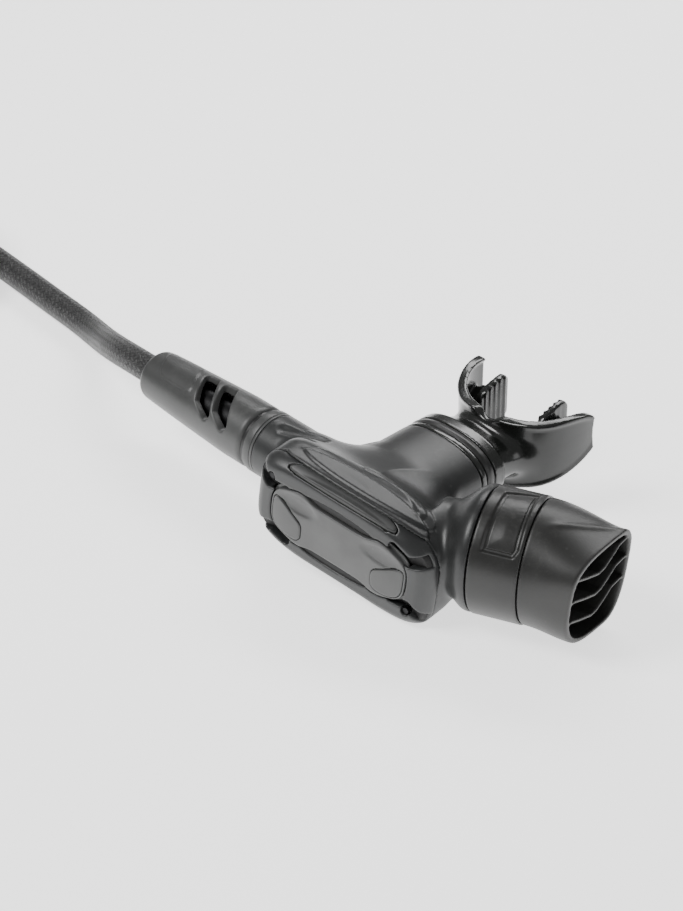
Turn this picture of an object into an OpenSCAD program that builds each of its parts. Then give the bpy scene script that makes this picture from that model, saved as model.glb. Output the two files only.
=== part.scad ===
// Second stage of a breathing regulator with a side exhaust, on its braided low pressure hose.
// Frame: X runs along the hose axis towards the exhaust, Y points back to the diver's mouth, Z is up.
// The origin lies on the rest plane, straight below the point where the hose axis meets the mouth axis.

/* [Body] */
// Height of the hose axis above the rest plane
axis_h = 25; // [22:0.5:32]
// Half length of the front pod
pod_l = 41; // [34:0.5:50]
// Half height of the front pod
pod_h = 21; // [17:0.5:25]
// Distance from the mouth axis to the front face of the pod
pod_front = 24; // [20:0.5:30]
// Depth of the pod behind its front face
pod_d = 40; // [34:0.5:48]
// Turn of the front face towards the exhaust
face_turn = 7.5; // [0:0.5:12]
// Roll of the front face, down on the exhaust side
face_roll = 7.5; // [0:0.5:12]
// Outer radius of the hose neck
neck_r = 13; // [12:0.1:16]
// Distance from the mouth axis to the end of the hose neck
neck_l = 51; // [46:0.5:62]
// Wall of the moulded housing
wall = 2.2; // [1.6:0.1:3]

/* [Cover and button] */
// Depth of the front cover frame
cover_d = 7.5; // [6.5:0.1:9]
// Half length of the purge button
button_l = 31.5; // [26:0.5:38]
// Half height of the purge button at its waist
button_h = 10.2; // [8:0.1:12.5]
// Travel of the purge button
button_travel = 2; // [1:0.1:2.6]
// Gap between the button and the window it slides in
button_gap = 0.45; // [0.2:0.05:0.8]

/* [Demand valve] */
// Outer radius of the valve barrel
barrel_r = 7; // [6:0.1:8.4]
// Bore radius of the valve barrel
barrel_bore = 4.6; // [4:0.1:5.4]
// Half length of the diaphragm
diaphragm_l = 27; // [22:0.5:33]
// Half height of the diaphragm
diaphragm_h = 15; // [12.5:0.5:18]
// Distance along X from the lever pivot to its tip
lever_l = 14; // [11:0.5:17]
// Running clearance of pieces that slide or turn in a bore
run_gap = 0.05; // [0.02:0.01:0.1]

/* [Mouthpiece] */
// Half width of the mouth neck
mouth_w = 22; // [18:0.5:26]
// Half height of the mouth neck
mouth_h = 12.8; // [10.5:0.1:15]
// Distance from the hose axis to the mouthpiece collar
mouth_y = 37.5; // [34:0.5:45]
// Half width of the mouthpiece flange
flange_w = 30; // [25:0.5:36]
// Half height of the mouthpiece flange
flange_h = 17; // [14:0.5:20]
// Depth of the flange arms
flange_d = 27; // [22:0.5:33]
// How far the mouthpiece flange sits towards the exhaust end, in mm
flange_shift = 4; // [0:0.5:5]
// Wall of the soft mouthpiece
rubber_t = 2.4; // [1.8:0.1:3.2]
// Width of the tie around the mouthpiece
tie_w = 4; // [3:0.1:5]

/* [Exhaust] */
// Turn of the exhaust away from the hose axis
exh_turn = 24; // [15:0.5:32]
// Outer radius of the exhaust collar
exh_r = 24; // [20:0.5:29]
// Distance along X to the exhaust seam
exh_x = 49.5; // [44:0.5:60]
// Distance back along Y to the exhaust seam
exh_y = 11.8; // [9:0.1:15]
// Length of the exhaust collar
collar_l = 19.4; // [16:0.1:24]
// Length of the outlet from its seam to the middle of its rim
outlet_l = 27; // [22:0.5:33]
// Thickness of each outlet vane
vane_t = 1.3; // [1:0.1:2]

/* [Hose] */
// Outer diameter of the braided hose
hose_d = 11.5; // [9.5:0.1:13.5]
// Length of the rubber hose protector
protector_l = 62.5; // [54:0.5:76]
// Radius of the protector at the swivel
protector_r = 12.8; // [11.5:0.1:15.5]
// Radius of the protector at the hose
protector_tip_r = 10; // [9:0.1:12]
// Width of each protector slot
slot_w = 7.2; // [5:0.1:8.6]
// Distance from one slot to the next
slot_pitch = 9.8; // [9:0.1:12]
// Centre line radius of the hose coil
coil_r = 61; // [56:1:70]
// Major radius of the first stage thread
thread_r = 4.76; // [3.8:0.02:5.8]
// Length of the first stage thread
thread_l = 9; // [7:0.5:12]
// Width of the hose nut across its flats
nut_af = 14; // [13:0.5:17]

/* [Hidden] */

$fn = 48;
eps = 0.01;
snug = 0.05;                        // gap round a piece that is pushed into another
hose_r = hose_d / 2;

// Front pod: its own frame has its centre on the front face, -Y outwards and X along the button
pod_x = 8;
pod_z = -2;
split_d = cover_d;                  // depth of the parting face behind the front face
pod_full = 7;                       // depth where the pod reaches its full outline
back_l = pod_l * 0.72;
back_h = pod_h * 0.68;
pod_power = 3.6;

// Neck, swivel and protector stations along X, measured away from the mouth axis
neck_x = -neck_l;
ring_w = 1.3;
collar_w = 3.6;
ring_x = neck_x - 0.1 - ring_w;
collar_x = ring_x - 0.1 - collar_w;
groove_w = 1.8;
prot_x = collar_x - groove_w;       // swivel end of the protector
prot_end = prot_x - protector_l;    // hose end of the protector
nut_len = 12;
nut_x = prot_x - nut_len + 1;
ferrule_len = 24;
ferrule_x = nut_x - ferrule_len - 0.1;
ferrule_r = hose_r + 1.5;
swivel_r = barrel_r + 0.1;          // threaded shank of the inlet fitting
socket_r = barrel_bore;
stem_r = socket_r - run_gap;
nut_r = swivel_r + 1.9;
prot_bore = nut_r + 0.3;
ball_r = 0.8;
ball_count = 20;
ball_x = prot_x - 3;

// Valve barrel stations along X
barrel_x0 = neck_x + 8;
barrel_x1 = 20;
seat_x = -30;
poppet_x0 = seat_x + 3;
head_l = 5;
pin_x = 10;
pin_y = -barrel_r - 1;
pin_r = 0.8;
foot_w = 3;
stem_rod_r = 1.4;
spring_l = 14;
bypass_x = -12;
bypass_r = 3;
oring_x = [barrel_x0 + 3, barrel_x0 + 9];
nut_gap = 0.1;
stem_x1 = pin_x + foot_w / 2 + nut_gap + 2.5;

// Depths behind the front face of the pod
button_front = -0.6;
ring_d = split_d + 0.1;
spring_room = 2.6;                  // depth left for the purge spring when the button is pressed
button_back = ring_d - button_travel - spring_room;
lip_d = button_back - 1;            // front of the lip that keeps the button in its window
ring_t = 1.4;
diaphragm_d = ring_d + ring_t;
diaphragm_t = 0.8;
shelf_d = diaphragm_d + diaphragm_t;
shelf_t = 1.5;
ledge = 2.5;
lip_w = 1.2;
screw_r = 1.2;
trim_w = 3;                         // half width of the lens shaped trim
trim_t = 1.2;                       // depth of the pocket that it sits in
cap_x = button_l * 0.72;
cap_r = button_h * 0.62;
plate_d = diaphragm_d + 0.1;
plate_t = 1.2;
plunger_r = 3;
// Where the plate's back face stands in the valve's frame, at the lever tip
tip_s = (pin_x - lever_l - pod_x) / cos(face_turn);
tip_y = -pod_front + tip_s * sin(face_turn) + (plate_d + plate_t) / cos(face_turn) + 0.1;

// Exhaust outlet section: half sizes and offset of the rim
rim_front = exh_r;
rim_back = exh_r * 0.5;
rim_top = exh_r * 0.78;
rim_bot = exh_r * 0.96;
rim_slant = 0.3;
rim_lean = 0.1;
outlet_wall = 2;
collar_bore = exh_r - 2.6;

// Mouthpiece stations along Y, and the spigot of the housing inside its collar
spigot_w = mouth_w - rubber_t;
spigot_h = mouth_h - rubber_t;
spigot_y = mouth_y + 9;
tie_y = mouth_y + 5;
throat_y = mouth_y + 12;
flange_y = mouth_y + 20.5;

// Hose route on the axis of the protector, then down to the rest plane and round to the coil
hose_route = [
    [-121, 0, 25], [-126, 0, 25], [-133, 0.5, 24.5], [-140, 1.6, 23.3],
    [-147, 3.4, 21.4], [-154, 6, 18.8], [-161, 9.2, 15.6], [-168, 12.6, 12.3], [-175, 15.8, 9.4],
    [-183, 18.7, 7.1], [-191, 20.6, 6], [-200, 21.7, 5.75], [-214, 22.7, 5.75], [-230, 24, 5.75],
    [-246, 25.2, 5.75], [-262, 26.3, 5.75], [-276, 27.2, 5.75], [-286, 27.8, 5.75],
    [-296, 28, 5.75]];
coil_x = -296;
coil_y = 28 - coil_r;
lap_start = -20;                    // where the hose starts to climb onto its first turn
tail_r = coil_r - 5;                // the last quarter turn draws in a little on top of the first
tail_x = coil_x - tail_r;
tail_z = hose_d + 0.2 + max(nut_af / 2, hose_r + 0.4); // nut or ferrule just above the first turn
tail_l = 10;
far_ferrule_l = 24;
far_nut_l = 9;

// Superellipse outline of half sizes a and b, counter clockwise
function spow(v, e) = sign(v) * pow(abs(v), e);
function superellipse(a, b, power, count = 40) =
    [for (i = [0:count - 1]) let (t = 360 * i / count)
        [a * spow(cos(t), 2 / power), b * spow(sin(t), 2 / power)]];

// Closed solid through rings of equal point count
function ring_faces(rings, count) = concat(
    [for (j = [0:rings - 2]) for (i = [0:count - 1]) let (k = (i + 1) % count)
        [j * count + i, j * count + k, (j + 1) * count + k, (j + 1) * count + i]],
    [[for (i = [0:count - 1]) count - 1 - i]],
    [[for (i = [0:count - 1]) (rings - 1) * count + i]]);

module skin(rings) {
    count = len(rings[0]);
    polyhedron(points = [for (r = rings) for (p = r) p], faces = ring_faces(len(rings), count));
}

// Frames
module on_axis() { translate([0, 0, axis_h]) children(); }

module on_face() {
    translate([pod_x, -pod_front, axis_h + pod_z])
        rotate([0, 0, face_turn]) rotate([0, face_roll, 0]) children();
}

module on_exhaust(q = 0) {
    translate([exh_x, exh_y, axis_h]) rotate([0, 0, exh_turn]) translate([q, 0, 0]) children();
}

// Cylinder and tube along X between two stations
module rod(x0, x1, r) { translate([x0, 0, 0]) rotate([0, 90, 0]) cylinder(h = x1 - x0, r = r); }

module tube(x0, x1, r, bore) {
    difference() {
        rod(x0, x1, r);
        rod(x0 - 1, x1 + 1, bore);
    }
}

// Torus around X
module x_torus(x, r, section) {
    translate([x, 0, 0]) rotate([0, 90, 0])
        rotate_extrude() translate([r, 0]) circle(r = section, $fn = 24);
}

// Plate in the face frame with an outline in X and Z, from depth d0 to d1
module face_plate(outline, d0, d1) {
    translate([0, d1, 0]) rotate([90, 0, 0]) linear_extrude(height = d1 - d0) polygon(outline);
}

module stadium_2d(half_w, half_h) {
    for (s = [-1, 1]) translate([s * (half_w - half_h), 0]) circle(r = half_h);
    square([2 * (half_w - half_h), 2 * half_h], center = true);
}

module face_stadium(half_w, half_h, d0, d1) {
    translate([0, d1, 0]) rotate([90, 0, 0]) linear_extrude(height = d1 - d0) stadium_2d(half_w, half_h);
}

// Stadium tube along Y between two stations
module mouth_stadium(half_w, half_h, y0, y1) {
    translate([0, y1, 0]) rotate([90, 0, 0]) linear_extrude(height = y1 - y0) stadium_2d(half_w, half_h);
}

// Helical spring along Z
module spring(r, wire, length, turns, steps = 10, sides = 6) {
    rings = [for (j = [0:turns * steps]) let (a = 360 * j / steps, z = length * j / (turns * steps))
        [for (i = [0:sides - 1]) let (t = 360 * i / sides)
            [(r + wire * cos(t)) * cos(a), (r + wire * cos(t)) * sin(a), z + wire * sin(t)]]];
    skin(rings);
}

// ---- Housing ----

// Pod outline at a depth: it swells from the front face, then draws in towards the mouth neck
function pod_half(d) = d < pod_full
    ? [pod_l - 4 * pow(1 - d / pod_full, 2), pod_h - 3.5 * pow(1 - d / pod_full, 2)]
    : d < pod_d / 2
        ? [pod_l, pod_h]
        : let (t = (d - pod_d / 2) / (pod_d / 2), s = t * t)
            [pod_l + (back_l - pod_l) * s, pod_h + (back_h - pod_h) * s];

module pod(d0, d1, inset = 0, steps = 6) {
    skin([for (j = [0:steps]) let (d = d0 + (d1 - d0) * j / steps, h = pod_half(d))
        [for (p = superellipse(h[0] - inset, h[1] - inset, pod_power)) [p[0], d, p[1]]]]);
}

module body_shell() {
    color("dimgray") difference() {
        union() {
            on_face() pod(split_d, pod_d);
            on_axis() rod(neck_x, 0, neck_r);
            on_axis() mouth_stadium(mouth_w, mouth_h, 0, mouth_y);
            on_axis() mouth_stadium(spigot_w, spigot_h, mouth_y - 1, spigot_y);
            on_exhaust() rod(-20, 0, exh_r - 0.2);
            translate([pod_x - 16, -10, 0]) cube([34, 22, axis_h * 0.3]);
        }
        on_face() pod(shelf_d + shelf_t, pod_d - wall, wall);
        on_axis() mouth_stadium(spigot_w - wall, spigot_h - wall, 0, spigot_y + 1);
        on_exhaust() rod(-22, 1, exh_r - 0.2 - wall);
        on_axis() rod(neck_x - 1, -8, barrel_r + run_gap);
        on_face() face_stadium(diaphragm_l + snug, diaphragm_h + snug, split_d - 1, shelf_d);
        on_face() face_stadium(diaphragm_l - ledge, diaphragm_h - ledge, split_d, shelf_d + shelf_t + 1);
        on_face() translate([-2 * pod_l, split_d - pod_d, -2 * pod_h]) cube([4 * pod_l, pod_d, 4 * pod_h]);
    }
}

// Thin web that braces the hose neck against the mouth neck
module rear_web() {
    color("black") difference() {
        on_axis() translate([0, 0, -2]) linear_extrude(height = 4) polygon([
            [neck_x * 0.62, neck_r - 3], [0, neck_r - 3], [0, mouth_y - 5], [-mouth_w - 4, mouth_y - 5]]);
        on_axis() rod(neck_x, 0, neck_r + eps);
        on_axis() mouth_stadium(mouth_w + eps, mouth_h + eps, -5, mouth_y);
        on_face() pod(split_d, pod_d, -eps);
    }
}

module front_cover() {
    color("dimgray") difference() {
        on_face() pod(0, split_d, 0, 4);
        on_face() face_plate(button_outline(button_gap), -1, split_d);
        on_face() face_plate(button_outline(button_gap + lip_w), lip_d - button_gap, split_d + 1);
        on_face() for (s = [-1, 1]) translate([s * (pod_l - 5.5), 0, 0])
            face_plate(superellipse(2.2, pod_h * 0.55, 3), -1, 3);
        on_face() for (s = [-1, 1]) translate([s * (pod_l - 8), 0, -s * (pod_h - 9)])
            rotate([90, 0, 0]) cylinder(h = 40, r = screw_r + snug, center = true);
        on_face() trim_form(snug, 2);
    }
}

module cover_screws() {
    color("silver") on_face() for (s = [-1, 1]) translate([s * (pod_l - 8), 0, -s * (pod_h - 9)])
        translate([0, 1, 0]) rotate([-90, 0, 0]) cylinder(h = split_d - 1, r = screw_r);
}

// Long lens shaped patch of the cover's top edge, which stands proud of the pod's outline
module trim_form(grow, proud) {
    difference() {
        intersection() {
            translate([0, split_d - trim_w - 0.3, pod_h * 0.7]) linear_extrude(height = pod_h)
                polygon(superellipse(pod_l * 0.66 + grow, trim_w + grow, 1.6, 24));
            pod(0, split_d + 1, -proud, 4);
        }
        pod(-1, split_d + 2, trim_t + grow, 4);
    }
}

module top_trim() { color("darkslategray") on_face() trim_form(0, 0.4); }

// ---- Purge button ----

// Hourglass outline with rounded ends; grow moves it outwards
function button_outline(grow) = [for (i = [0:47]) let (
        t = 360 * i / 48,
        waist = 1 - 0.2 * pow(cos(2 * t - 180) * 0.5 + 0.5, 2),
        p = [(button_l + grow) * spow(cos(t), 0.62), (button_h * 1.22 + grow) * spow(sin(t), 0.75)])
    [p[0], p[1] * (abs(p[0]) < button_l * 0.35 ? waist : 1)]];

module purge_button() {
    color("gray") on_face() difference() {
        union() {
            face_plate(button_outline(0), button_front, button_back);
            face_plate(button_outline(lip_w), lip_d, button_back);
            translate([0, button_back - eps, 0]) rotate([-90, 0, 0])
                cylinder(h = plate_d - 0.1 - button_back, r = plunger_r);
        }
        for (s = [-1, 1]) translate([s * cap_x, button_front, 0]) rotate([90, 0, 0])
            cylinder(h = 3, r = cap_r + snug, center = true);
    }
}

module button_caps() {
    color("dimgray") on_face() for (s = [-1, 1]) translate([s * cap_x, button_front + 1.5, 0])
        rotate([90, 0, 0]) cylinder(h = 2, r = cap_r);
}

module purge_spring() {
    wire = 0.3;
    color("silver") on_face() translate([0, button_back + wire + snug, 0]) rotate([-90, 0, 0])
        spring(plunger_r + 2, wire, ring_d - button_back - 2 * wire - 2 * snug, 2);
}

// ---- Diaphragm and demand valve ----

// Clamp ring with a cross bar that carries the purge spring
module diaphragm_ring() {
    color("dimgray") on_face() difference() {
        union() {
            difference() {
                face_stadium(diaphragm_l, diaphragm_h, ring_d, diaphragm_d);
                face_stadium(diaphragm_l - ledge, diaphragm_h - ledge, ring_d - 1, diaphragm_d + 1);
            }
            translate([-1.5, ring_d, -diaphragm_h + 1]) cube([3, ring_t, 2 * diaphragm_h - 2]);
            translate([0, ring_d, 0]) rotate([-90, 0, 0]) cylinder(h = ring_t, r = plunger_r + 3);
        }
        translate([0, ring_d - 1, 0]) rotate([-90, 0, 0]) cylinder(h = 5, r = plunger_r + button_gap);
    }
}

module diaphragm() {
    color("black") on_face() difference() {
        face_stadium(diaphragm_l, diaphragm_h, diaphragm_d, shelf_d);
        face_stadium(diaphragm_l - 9, diaphragm_h - 6, diaphragm_d - 1, shelf_d + 1);
    }
}

module diaphragm_plate() {
    color("whitesmoke") on_face() face_stadium(diaphragm_l - 9 - snug, diaphragm_h - 6 - snug,
        plate_d, plate_d + plate_t);
}

module valve_barrel() {
    ear = [2 * pin_r + 1.6, 3.8, 1.2];
    color("goldenrod") on_axis() difference() {
        union() {
            rod(barrel_x0, barrel_x1, barrel_r);
            for (s = [-1, 1]) translate([pin_x, pin_y + 0.5, s * 3.3]) cube(ear, center = true);
        }
        rod(barrel_x0 - 1, barrel_x1 + 1, barrel_bore);
        translate([pin_x - 0.5, -barrel_r, 0]) cube([9, 2 * barrel_r, 5], center = true);
        translate([bypass_x, 0, 0]) rotate([-90, 0, 0]) cylinder(h = 2 * barrel_r, r = bypass_r + snug);
        translate([pin_x, pin_y, -5]) cylinder(h = 10, r = pin_r);
        for (x = oring_x) x_torus(x, barrel_r - 0.65, 0.7);
    }
}

module barrel_orings() { color("black") on_axis() for (x = oring_x) x_torus(x, barrel_r - 0.65, 0.7); }

module valve_seat() {
    color("silver") on_axis() difference() {
        union() {
            rod(barrel_x0 + 1, seat_x - 2, barrel_bore - run_gap);
            rod(seat_x - 2 - eps, seat_x, 2.2);
        }
        rod(barrel_x0, seat_x + 1, 1.5);
    }
}

// Poppet with the nut that the lever pushes
module poppet() {
    color("whitesmoke") on_axis() difference() {
        union() {
            rod(poppet_x0, poppet_x0 + head_l, barrel_bore - run_gap);
            rod(poppet_x0 + head_l - eps, stem_x1, stem_rod_r);
            rod(stem_x1 - 2.5, stem_x1, barrel_bore - 0.8);
        }
        rod(poppet_x0 - 1, poppet_x0 + 1.5, 3);
    }
}

module poppet_seal() { color("black") on_axis() rod(seat_x + 0.05, poppet_x0 + 1.5, 3); }

module poppet_spring() {
    wire = 0.4;
    color("silver") on_axis() translate([poppet_x0 + head_l + wire + snug, 0, 0]) rotate([0, 90, 0])
        spring(stem_rod_r + 1.6, wire, spring_l - 2 * wire - 2 * snug, 5);
}

module spring_stop() {
    x = poppet_x0 + head_l + spring_l;
    color("goldenrod") on_axis() tube(x, x + 2, barrel_bore, stem_rod_r + 0.2);
}

// Lever: its foot pushes the poppet open when the diaphragm presses its tip
module demand_lever() {
    tip = [pin_x - lever_l, tip_y];
    color("silver") on_axis() difference() {
        translate([0, 0, -2]) linear_extrude(height = 4) polygon([
            [pin_x - foot_w / 2, -stem_rod_r - 0.9], [pin_x - foot_w / 2, pin_y + 0.9],
            tip + [0, 1.4], tip, tip + [1.5, 0.35], [pin_x, pin_y - 1.5],
            [pin_x + foot_w / 2, pin_y - 1], [pin_x + foot_w / 2, -stem_rod_r - 0.9]]);
        translate([pin_x, pin_y, -3]) cylinder(h = 6, r = pin_r + run_gap);
    }
}

module lever_pin() {
    color("silver") on_axis() translate([pin_x, pin_y, -3.9]) cylinder(h = 7.8, r = pin_r);
}

module bypass_tube() {
    y0 = barrel_bore + 0.4;
    y1 = mouth_y - 3;
    color("dimgray") on_axis() translate([bypass_x, y0, 0]) rotate([-90, 0, 0]) difference() {
        cylinder(h = y1 - y0, r = bypass_r);
        translate([0, 0, -1]) cylinder(h = mouth_y, r = bypass_r - 1);
    }
}

// ---- Swivel ----

module neck_ring() { color("gray") on_axis() tube(ring_x, ring_x + ring_w, neck_r, swivel_r + 1.5); }

module swivel_collar() {
    color("gray") on_axis() tube(collar_x, collar_x + collar_w, neck_r, swivel_r + 0.3);
}

module inlet_fitting() {
    color("silver") on_axis() difference() {
        rod(nut_x + 4, barrel_x0 - 0.1, swivel_r - 0.1);
        rod(nut_x + 3, neck_x, socket_r);
        rod(nut_x, barrel_x0 + 1, 2.5);
        x_torus(ball_x, swivel_r - 0.1, ball_r + run_gap);
    }
}

module swivel_nut() {
    color("silver") on_axis() difference() {
        union() {
            tube(nut_x, prot_x - 0.5, nut_r, swivel_r);
            tube(nut_x, nut_x + 3.9, nut_r, 2);
            tube(nut_x + 3.5, nut_x + 12, stem_r, 2);
        }
        x_torus(ball_x, swivel_r - 0.1, ball_r + run_gap);
    }
}

module swivel_balls() {
    color("silver") on_axis() for (i = [0:ball_count - 1]) rotate([360 * i / ball_count, 0, 0])
        translate([ball_x, swivel_r - 0.1, 0]) sphere(r = ball_r, $fn = 24);
}

module swivel_washer() {
    color("black") on_axis() tube(prot_x + 0.1, collar_x, neck_r - 0.8, swivel_r + 0.3);
}

module hose_ferrule() {
    color("black") on_axis() tube(ferrule_x, nut_x - 0.1, ferrule_r, hose_r);
}

// Hose inside the protector, from the first point of its free run
module hose_end() { color("black") on_axis() tube(hose_route[0][0], nut_x - 0.1, hose_r, 3.2); }

module hose_protector() {
    tip = min(4, protector_tip_r - hose_r - 0.2);
    color("gray") on_axis() difference() {
        translate([prot_end, 0, 0]) rotate([0, 90, 0]) rotate_extrude() polygon(concat(
            [[hose_r + 0.15, 0], [protector_tip_r - tip, 0]],
            [for (a = [0:15:90]) [protector_tip_r - tip + tip * sin(a), tip - tip * cos(a)]],
            [[protector_r, protector_l], [hose_r + 0.15, protector_l]]));
        rod(ferrule_x - 5, prot_x + 1, prot_bore);
        for (side = [0, 180]) for (k = [0, 1]) rotate([side + 25, 0, 0])
            translate([prot_x - 20 - k * slot_pitch, 0, hose_r + 0.6 + protector_r / 2])
                rotate([0, 0, -30]) cube([slot_w, 3 * protector_r, protector_r], center = true);
    }
}

// ---- Exhaust ----

module exhaust_seat() {
    color("dimgray") on_exhaust() difference() {
        rod(0.1, 2.2, collar_bore);
        for (i = [0:5]) rotate([60 * i, 0, 0]) translate([0, exh_r * 0.5, 0]) rod(0, 3, exh_r * 0.17);
        rod(-1, 4, 1.6);
    }
}

module exhaust_flap() {
    color("black") on_exhaust() {
        rod(2.3, 3.1, collar_bore - 2);
        rod(0.5, 2.3 + eps, 1.55);
    }
}

module exhaust_collar() {
    color("dimgray") on_exhaust() difference() {
        rod(0, collar_l, exh_r);
        rod(-1, collar_l + 1, collar_bore);
        badge_patch(exh_r + 1, exh_r - 0.9, 0);
    }
}

// Patch of a tube wall on the upper front of the collar, between two angles from the top
module badge_patch(r, bore, inset) {
    reach = 2 * exh_r;
    a0 = -52 + inset;
    a1 = 17 - inset;
    intersection() {
        tube(collar_l * 0.25 + inset / 2, collar_l * 0.86 - inset / 2, r, bore);
        rotate([90, 0, 90]) linear_extrude(height = collar_l) polygon([[0, 0],
            [reach * sin(a0), reach * cos(a0)], [0, 2 * reach], [reach * sin(a1), reach * cos(a1)]]);
    }
}

module collar_badge() { color("black") on_exhaust() badge_patch(exh_r - 0.45, exh_r - 0.9, 1); }

// Outlet section at angle t, share s of the way from the round seam to the slanted rim
function rim_point(t, inset) = [
    (cos(t) > 0 ? rim_back : rim_front) * spow(cos(t), 0.62) * (1 - inset / exh_r),
    (sin(t) > 0 ? rim_top : rim_bot) * spow(sin(t), sin(t) > 0 ? 0.55 : 0.85) * (1 - inset / exh_r)];

function outlet_point(t, s, inset, stretch) = let (
        e = s * s * (3 - 2 * s),
        rim = rim_point(t, inset),
        seam_r = exh_r - 0.4 - inset,
        p = seam_r * cos(t) * (1 - e) + rim[0] * e,
        z = seam_r * sin(t) * (1 - e) + rim[1] * e,
        q = s * (outlet_l + rim_slant * p + rim_lean * z) * stretch)
    [q, p, z];

module outlet_form(inset, stretch = 1, start = 0) {
    skin([for (j = [0:6]) [for (i = [0:39])
        outlet_point(-360 * i / 40, j / 6, inset, stretch) + [start * (1 - j / 6), 0, 0]]]);
}

// Wavy band across the outlet, at height z
module vane(z) {
    wave = [[-26, 5.5], [-20, 5], [-12, 1.5], [-7, 0], [-3.5, 0.5], [0, 3.5], [3, 6.5], [7, 7.5], [20, 7]];
    translate([6, 0, z]) rotate([90, 0, 90]) linear_extrude(height = 40) polygon(concat(
        [for (p = wave) [p[0] * exh_r / 24, p[1] - vane_t / 2]],
        [for (i = [len(wave) - 1:-1:0]) [wave[i][0] * exh_r / 24, wave[i][1] + vane_t / 2]]));
}

module exhaust_outlet() {
    color("dimgray") on_exhaust(collar_l) difference() {
        outlet_form(0);
        difference() {
            outlet_form(outlet_wall, 1.08, -1);
            for (k = [-1:1]) vane(k * exh_r * 0.4 - 3.2);
        }
    }
}

// ---- Mouthpiece ----

function arm_arc(half_w, depth, side) = [for (a = [-90:15:90])
    [half_w * sin(a) * side, -depth * spow(cos(a), 0.8)]];

module flange_2d() {
    y1 = flange_y + flange_d;
    polygon(concat(
        [for (p = arm_arc(flange_w, flange_d, 1)) [p[0], y1 + p[1]]],
        [for (p = arm_arc(flange_w - rubber_t, flange_d - rubber_t, -1)) [p[0], y1 + p[1]]]));
}

module mouthpiece() {
    bore_w = spigot_w - wall;
    bore_h = spigot_h - wall;
    color("black") on_axis() difference() {
        union() {
            mouth_stadium(mouth_w, mouth_h, mouth_y, throat_y);
            mouth_stadium(mouth_w - 2.5, mouth_h - 1.5, throat_y - 1, flange_y + 2);
            translate([flange_shift, 0, 0]) {
                translate([0, 0, -flange_h]) linear_extrude(height = 2 * flange_h) flange_2d();
                for (s = [-1, 1]) translate([s * (flange_w - 9), flange_y + flange_d - 10, 0]) {
                    cube([8, 17, 2.6], center = true);
                    translate([-s * 4, 1, 0]) cube([2.2, 14, 16], center = true);
                }
                for (s = [-1, 1]) translate([s * (flange_w - 4.5), flange_y + flange_d - 8, 0])
                    cube([6, 6, 2.6], center = true);
            }
        }
        mouth_stadium(bore_w, bore_h, mouth_y - 1, flange_y + 6);
        mouth_stadium(spigot_w + snug, spigot_h + snug, mouth_y - 1, spigot_y + snug);
        difference() {
            mouth_stadium(mouth_w + 1, mouth_h + 1, tie_y - tie_w / 2 - 0.2, tie_y + tie_w / 2 + 0.2);
            mouth_stadium(mouth_w - 1.2, mouth_h - 1.2, tie_y - tie_w, tie_y + tie_w);
        }
    }
}

module mouthpiece_tie() {
    color("black") on_axis() {
        difference() {
            mouth_stadium(mouth_w, mouth_h, tie_y - tie_w / 2, tie_y + tie_w / 2);
            mouth_stadium(mouth_w - 1.15, mouth_h - 1.15, tie_y - tie_w, tie_y + tie_w);
        }
        translate([-mouth_w * 0.5, tie_y, -mouth_h - 0.8]) cube([6, tie_w + 1, 1.8], center = true);
    }
}

// ---- Free hose, its coil and its far end ----

// Eight to twelve sided tube swept along points, its rings square to the run
function unit(v) = v / norm(v);
function heading(points, i) = unit(points[min(i + 1, len(points) - 1)] - points[max(i - 1, 0)]);
function sweep_ring(points, i, r, sides) = let (
        d = heading(points, i),
        across = unit(cross([0, 0, 1], d)),
        up = cross(d, across))
    [for (k = [0:sides - 1]) let (t = 360 * k / sides)
        points[i] + r * cos(t) * across + r * sin(t) * up];

module swept_tube(points, r, sides = 12) {
    skin([for (i = [0:len(points) - 1]) sweep_ring(points, i, r, sides)]);
}

module hose_run() { color("black") swept_tube(hose_route, hose_r); }

// One turn on the rest plane, and the lap that lies on it for rather more than half a turn
module hose_coil() {
    outer = coil_r + hose_r + 0.5;
    inner = coil_r - hose_r - 0.5;
    lap_inner = tail_r - hose_r;
    color("black") translate([coil_x, coil_y, 0]) {
        rotate_extrude($fn = 96) translate([inner, 0]) square([outer - inner, hose_d]);
        rotate([0, 0, lap_start]) rotate_extrude(angle = 180 - lap_start, $fn = 96)
            translate([lap_inner, 0]) square([outer - lap_inner, tail_z + hose_r]);
    }
}

// The tail leaves the coil on its far side, heading along -Y
module at_tail(y) { translate([tail_x, coil_y - y, tail_z]) rotate([90, 0, 0]) children(); }

module hose_tail() { color("black") at_tail(0) cylinder(h = tail_l, r = hose_r); }

module far_ferrule() {
    color("black") at_tail(tail_l) cylinder(h = far_ferrule_l, r = hose_r + 0.4);
}

module far_nut() {
    color("silver") at_tail(tail_l + far_ferrule_l)
        cylinder(h = far_nut_l, r = nut_af / 2 / cos(30), $fn = 6);
}

module thread_fitting() {
    color("silver") at_tail(tail_l + far_ferrule_l + far_nut_l) difference() {
        union() {
            cylinder(h = 2.4, r = thread_r - 0.9);
            translate([0, 0, 2.4 - eps]) cylinder(h = thread_l, r = thread_r);
        }
        translate([0, 0, -1]) cylinder(h = thread_l + 5, r = 2.2);
    }
}

module thread_oring() {
    color("black") at_tail(tail_l + far_ferrule_l + far_nut_l) translate([0, 0, 1.15])
        rotate_extrude() translate([thread_r - 0.9 + 1.1, 0]) circle(r = 1.05, $fn = 24);
}

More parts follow.
